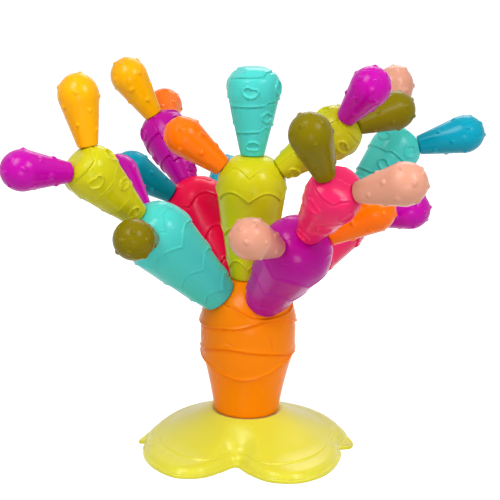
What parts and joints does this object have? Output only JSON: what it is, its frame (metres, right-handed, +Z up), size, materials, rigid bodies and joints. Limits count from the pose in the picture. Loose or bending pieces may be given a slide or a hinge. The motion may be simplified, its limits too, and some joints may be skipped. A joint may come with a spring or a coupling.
{
  "type": "magnetic tree puzzle",
  "caption": "Toy tree for stacking: a tapered trunk on a wavy domed base, with bulb-ended limbs, branches and bumpy leaves that hold on with magnets and pull off or twist.",
  "frame": {"origin": "on the surface that the base stands on, under the trunk's axis", "axes": "+Z up along the trunk's axis, -Y towards the viewer of the picture, +X to the viewer's right"},
  "size_m": [0.4, 0.3721, 0.3397],
  "materials": {
    "base_lime": "moulded, semi-gloss",
    "trunk_orange": "moulded, semi-gloss",
    "lime": "moulded, semi-gloss",
    "turquoise": "moulded, semi-gloss",
    "red": "moulded, semi-gloss",
    "pink": "moulded, semi-gloss",
    "purple": "moulded, semi-gloss",
    "violet": "moulded, semi-gloss",
    "teal": "moulded, semi-gloss",
    "amber": "moulded, semi-gloss",
    "orange": "moulded, semi-gloss",
    "olive": "moulded, semi-gloss",
    "peach": "moulded, semi-gloss",
    "magnet_nickel": "nickel-plated disc magnet",
    "weight_steel": "plain cut steel",
    "screw_steel": "zinc-plated screw"
  },
  "bodies": {
    "base": {"base_shell": "base_lime", "base_cover": "base_lime", "base_screws": "screw_steel", "base_weight": "weight_steel", "base_magnet": "magnet_nickel"},
    "trunk_foot": {"trunk_foot_magnet": "magnet_nickel"},
    "trunk": {"trunk_shell": "trunk_orange", "trunk_foot_cap": "trunk_orange", "trunk_seat_magnets": "magnet_nickel"},
    "lime_limb_foot": {"lime_limb_foot_magnet": "magnet_nickel"},
    "lime_limb": {"lime_limb_shell": "lime", "lime_limb_seat_magnets": "magnet_nickel"},
    "pink_limb_foot": {"pink_limb_foot_magnet": "magnet_nickel"},
    "pink_limb": {"pink_limb_shell": "pink", "pink_limb_seat_magnets": "magnet_nickel"},
    "red_limb_foot": {"red_limb_foot_magnet": "magnet_nickel"},
    "red_limb": {"red_limb_shell": "red", "red_limb_seat_magnets": "magnet_nickel"},
    "turquoise_limb_foot": {"turquoise_limb_foot_magnet": "magnet_nickel"},
    "turquoise_limb": {"turquoise_limb_shell": "turquoise", "turquoise_limb_seat_magnets": "magnet_nickel"},
    "purple_limb_foot": {"purple_limb_foot_magnet": "magnet_nickel"},
    "purple_limb": {"purple_limb_shell": "purple", "purple_limb_seat_magnets": "magnet_nickel"},
    "top_turquoise_branch_foot": {"top_turquoise_branch_foot_magnet": "magnet_nickel"},
    "top_turquoise_branch": {"top_turquoise_branch_shell": "turquoise", "top_turquoise_branch_seat_magnets": "magnet_nickel"},
    "right_lime_branch_foot": {"right_lime_branch_foot_magnet": "magnet_nickel"},
    "right_lime_branch": {"right_lime_branch_shell": "lime", "right_lime_branch_seat_magnets": "magnet_nickel"},
    "left_lime_branch_foot": {"left_lime_branch_foot_magnet": "magnet_nickel"},
    "left_lime_branch": {"left_lime_branch_shell": "lime", "left_lime_branch_seat_magnets": "magnet_nickel"},
    "purple_branch_foot": {"purple_branch_foot_magnet": "magnet_nickel"},
    "purple_branch": {"purple_branch_shell": "purple", "purple_branch_seat_magnets": "magnet_nickel"},
    "pink_branch_foot": {"pink_branch_foot_magnet": "magnet_nickel"},
    "pink_branch": {"pink_branch_shell": "pink", "pink_branch_seat_magnets": "magnet_nickel"},
    "right_turquoise_branch_foot": {"right_turquoise_branch_foot_magnet": "magnet_nickel"},
    "right_turquoise_branch": {"right_turquoise_branch_shell": "turquoise", "right_turquoise_branch_seat_magnets": "magnet_nickel"},
    "lime_limb_orange_leaf": {"lime_limb_orange_leaf": "orange"},
    "turquoise_limb_olive_leaf": {"turquoise_limb_olive_leaf": "olive"},
    "turquoise_limb_purple_leaf": {"turquoise_limb_purple_leaf": "violet"},
    "red_limb_left_teal_leaf": {"red_limb_left_teal_leaf": "teal"},
    "red_limb_back_teal_leaf": {"red_limb_back_teal_leaf": "teal"},
    "purple_limb_peach_leaf": {"purple_limb_peach_leaf": "peach"},
    "purple_limb_amber_leaf": {"purple_limb_amber_leaf": "amber"},
    "pink_limb_purple_leaf": {"pink_limb_purple_leaf": "violet"},
    "left_branch_amber_leaf": {"left_branch_amber_leaf": "amber"},
    "left_branch_purple_leaf": {"left_branch_purple_leaf": "violet"},
    "purple_branch_amber_leaf": {"purple_branch_amber_leaf": "amber"},
    "purple_branch_orange_leaf": {"purple_branch_orange_leaf": "orange"},
    "lime_branch_purple_leaf": {"lime_branch_purple_leaf": "violet"},
    "lime_branch_olive_leaf": {"lime_branch_olive_leaf": "olive"},
    "pink_branch_olive_leaf": {"pink_branch_olive_leaf": "olive"},
    "pink_branch_peach_leaf": {"pink_branch_peach_leaf": "peach"},
    "turquoise_branch_peach_leaf": {"turquoise_branch_peach_leaf": "peach"},
    "turquoise_branch_teal_leaf": {"turquoise_branch_teal_leaf": "teal"}
  },
  "joints": [
    {"name": "trunk_lift", "type": "slide", "parent": "base", "child": "trunk_foot", "axis": [0, 0, 1], "range_m": [0, 0.03]},
    {"name": "trunk_turn", "type": "hinge", "parent": "trunk_foot", "child": "trunk", "pos_m": [0, 0, 0.0318], "axis": [0, 0, 1], "continuous": true},
    {"name": "lime_limb_pull", "type": "slide", "parent": "trunk", "child": "lime_limb_foot", "axis": [0, 0, 1], "range_m": [0, 0.03]},
    {"name": "lime_limb_turn", "type": "hinge", "parent": "lime_limb_foot", "child": "lime_limb", "pos_m": [0, 0, 0.15025], "axis": [0, 0, 1], "range_deg": [-120, 175]},
    {"name": "pink_limb_pull", "type": "slide", "parent": "trunk", "child": "pink_limb_foot", "axis": [0.6243, 0.332, 0.7071], "range_m": [0, 0.03]},
    {"name": "pink_limb_turn", "type": "hinge", "parent": "pink_limb_foot", "child": "pink_limb", "pos_m": [0.02475, 0.01316, 0.13703], "axis": [0.6243, 0.332, 0.7071], "range_deg": [-50, 175]},
    {"name": "red_limb_pull", "type": "slide", "parent": "trunk", "child": "red_limb_foot", "axis": [-0.3954, 0.5862, 0.7071], "range_m": [0, 0.03]},
    {"name": "red_limb_turn", "type": "hinge", "parent": "red_limb_foot", "child": "red_limb", "pos_m": [-0.01568, 0.02324, 0.13703], "axis": [-0.3954, 0.5862, 0.7071], "continuous": true},
    {"name": "turquoise_limb_pull", "type": "slide", "parent": "trunk", "child": "turquoise_limb_foot", "axis": [-0.6355, -0.31, 0.7071], "range_m": [0, 0.03]},
    {"name": "turquoise_limb_turn", "type": "hinge", "parent": "turquoise_limb_foot", "child": "turquoise_limb", "pos_m": [-0.0252, -0.01229, 0.13703], "axis": [-0.6355, -0.31, 0.7071], "range_deg": [-20, 105]},
    {"name": "purple_limb_pull", "type": "slide", "parent": "trunk", "child": "purple_limb_foot", "axis": [0.31, -0.6355, 0.7071], "range_m": [0, 0.03]},
    {"name": "purple_limb_turn", "type": "hinge", "parent": "purple_limb_foot", "child": "purple_limb", "pos_m": [0.01229, -0.0252, 0.13703], "axis": [0.31, -0.6355, 0.7071], "continuous": true},
    {"name": "top_turquoise_branch_pull", "type": "slide", "parent": "lime_limb", "child": "top_turquoise_branch_foot", "axis": [0, 0, 1], "range_m": [0, 0.025]},
    {"name": "top_turquoise_branch_turn", "type": "hinge", "parent": "top_turquoise_branch_foot", "child": "top_turquoise_branch", "pos_m": [0, 0, 0.25628], "axis": [0, 0, 1], "continuous": true},
    {"name": "right_lime_branch_pull", "type": "slide", "parent": "lime_limb", "child": "right_lime_branch_foot", "axis": [0.7967, -0.0557, 0.6018], "range_m": [0, 0.025]},
    {"name": "right_lime_branch_turn", "type": "hinge", "parent": "right_lime_branch_foot", "child": "right_lime_branch", "pos_m": [0.02426, -0.0017, 0.24477], "axis": [0.7967, -0.0557, 0.6018], "continuous": true},
    {"name": "left_lime_branch_pull", "type": "slide", "parent": "turquoise_limb", "child": "left_lime_branch_foot", "axis": [-0.6355, -0.31, 0.7071], "range_m": [0, 0.025]},
    {"name": "left_lime_branch_turn", "type": "hinge", "parent": "left_lime_branch_foot", "child": "left_lime_branch", "pos_m": [-0.09258, -0.04516, 0.21201], "axis": [-0.6355, -0.31, 0.7071], "continuous": true},
    {"name": "purple_branch_pull", "type": "slide", "parent": "red_limb", "child": "purple_branch_foot", "axis": [-0.3954, 0.5862, 0.7071], "range_m": [0, 0.025]},
    {"name": "purple_branch_turn", "type": "hinge", "parent": "purple_branch_foot", "child": "purple_branch", "pos_m": [-0.0576, 0.0854, 0.21201], "axis": [-0.3954, 0.5862, 0.7071], "continuous": true},
    {"name": "pink_branch_pull", "type": "slide", "parent": "purple_limb", "child": "pink_branch_foot", "axis": [0.31, -0.6355, 0.7071], "range_m": [0, 0.025]},
    {"name": "pink_branch_turn", "type": "hinge", "parent": "pink_branch_foot", "child": "pink_branch", "pos_m": [0.04516, -0.09258, 0.21201], "axis": [0.31, -0.6355, 0.7071], "continuous": true},
    {"name": "right_turquoise_branch_pull", "type": "slide", "parent": "pink_limb", "child": "right_turquoise_branch_foot", "axis": [0.6243, 0.332, 0.7071], "range_m": [0, 0.025]},
    {"name": "right_turquoise_branch_turn", "type": "hinge", "parent": "right_turquoise_branch_foot", "child": "right_turquoise_branch", "pos_m": [0.09095, 0.04836, 0.21201], "axis": [0.6243, 0.332, 0.7071], "continuous": true},
    {"name": "lime_limb_orange_leaf_pull", "type": "slide", "parent": "lime_limb", "child": "lime_limb_orange_leaf", "axis": [-0.7967, 0.0557, 0.6018], "range_m": [0, 0.02]},
    {"name": "turquoise_limb_olive_leaf_pull", "type": "slide", "parent": "turquoise_limb", "child": "turquoise_limb_olive_leaf", "axis": [-0.2375, -0.9454, 0.2232], "range_m": [0, 0.02]},
    {"name": "turquoise_limb_purple_leaf_pull", "type": "slide", "parent": "turquoise_limb", "child": "turquoise_limb_purple_leaf", "axis": [-0.5274, 0.5723, 0.6279], "range_m": [0, 0.02]},
    {"name": "red_limb_left_teal_leaf_pull", "type": "slide", "parent": "red_limb", "child": "red_limb_left_teal_leaf", "axis": [-0.8199, -0.1814, 0.543], "range_m": [0, 0.02]},
    {"name": "red_limb_back_teal_leaf_pull", "type": "slide", "parent": "red_limb", "child": "red_limb_back_teal_leaf", "axis": [0.344, 0.887, 0.3081], "range_m": [0, 0.02]},
    {"name": "purple_limb_peach_leaf_pull", "type": "slide", "parent": "purple_limb", "child": "purple_limb_peach_leaf", "axis": [-0.4957, -0.7918, 0.3567], "range_m": [0, 0.02]},
    {"name": "purple_limb_amber_leaf_pull", "type": "slide", "parent": "purple_limb", "child": "purple_limb_amber_leaf", "axis": [0.8688, 0.0269, 0.4944], "range_m": [0, 0.02]},
    {"name": "pink_limb_purple_leaf_pull", "type": "slide", "parent": "pink_limb", "child": "pink_limb_purple_leaf", "axis": [0.8736, -0.405, 0.2699], "range_m": [0, 0.02]},
    {"name": "left_branch_amber_leaf_pull", "type": "slide", "parent": "left_lime_branch", "child": "left_branch_amber_leaf", "axis": [-0.1927, 0.0833, 0.9777], "range_m": [0, 0.02]},
    {"name": "left_branch_purple_leaf_pull", "type": "slide", "parent": "left_lime_branch", "child": "left_branch_purple_leaf", "axis": [-0.8089, -0.5718, 0.1367], "range_m": [0, 0.02]},
    {"name": "purple_branch_amber_leaf_pull", "type": "slide", "parent": "purple_branch", "child": "purple_branch_amber_leaf", "axis": [-0.5371, -0.0347, 0.8428], "range_m": [0, 0.02]},
    {"name": "purple_branch_orange_leaf_pull", "type": "slide", "parent": "purple_branch", "child": "purple_branch_orange_leaf", "axis": [-0.0861, 0.9586, 0.2716], "range_m": [0, 0.02]},
    {"name": "lime_branch_purple_leaf_pull", "type": "slide", "parent": "right_lime_branch", "child": "lime_branch_purple_leaf", "axis": [0.4164, -0.574, 0.7051], "range_m": [0, 0.02]},
    {"name": "lime_branch_olive_leaf_pull", "type": "slide", "parent": "right_lime_branch", "child": "lime_branch_olive_leaf", "axis": [0.8392, 0.4862, 0.2434], "range_m": [0, 0.02]},
    {"name": "pink_branch_olive_leaf_pull", "type": "slide", "parent": "pink_branch", "child": "pink_branch_olive_leaf", "axis": [-0.3093, -0.4726, 0.8252], "range_m": [0, 0.02]},
    {"name": "pink_branch_peach_leaf_pull", "type": "slide", "parent": "pink_branch", "child": "pink_branch_peach_leaf", "axis": [0.7978, -0.529, 0.2892], "range_m": [0, 0.02]},
    {"name": "turquoise_branch_peach_leaf_pull", "type": "slide", "parent": "right_turquoise_branch", "child": "turquoise_branch_peach_leaf", "axis": [0.02, 0.5288, 0.8485], "range_m": [0, 0.02]},
    {"name": "turquoise_branch_teal_leaf_pull", "type": "slide", "parent": "right_turquoise_branch", "child": "turquoise_branch_teal_leaf", "axis": [0.964, -0.0056, 0.2659], "range_m": [0, 0.02]}
  ]
}
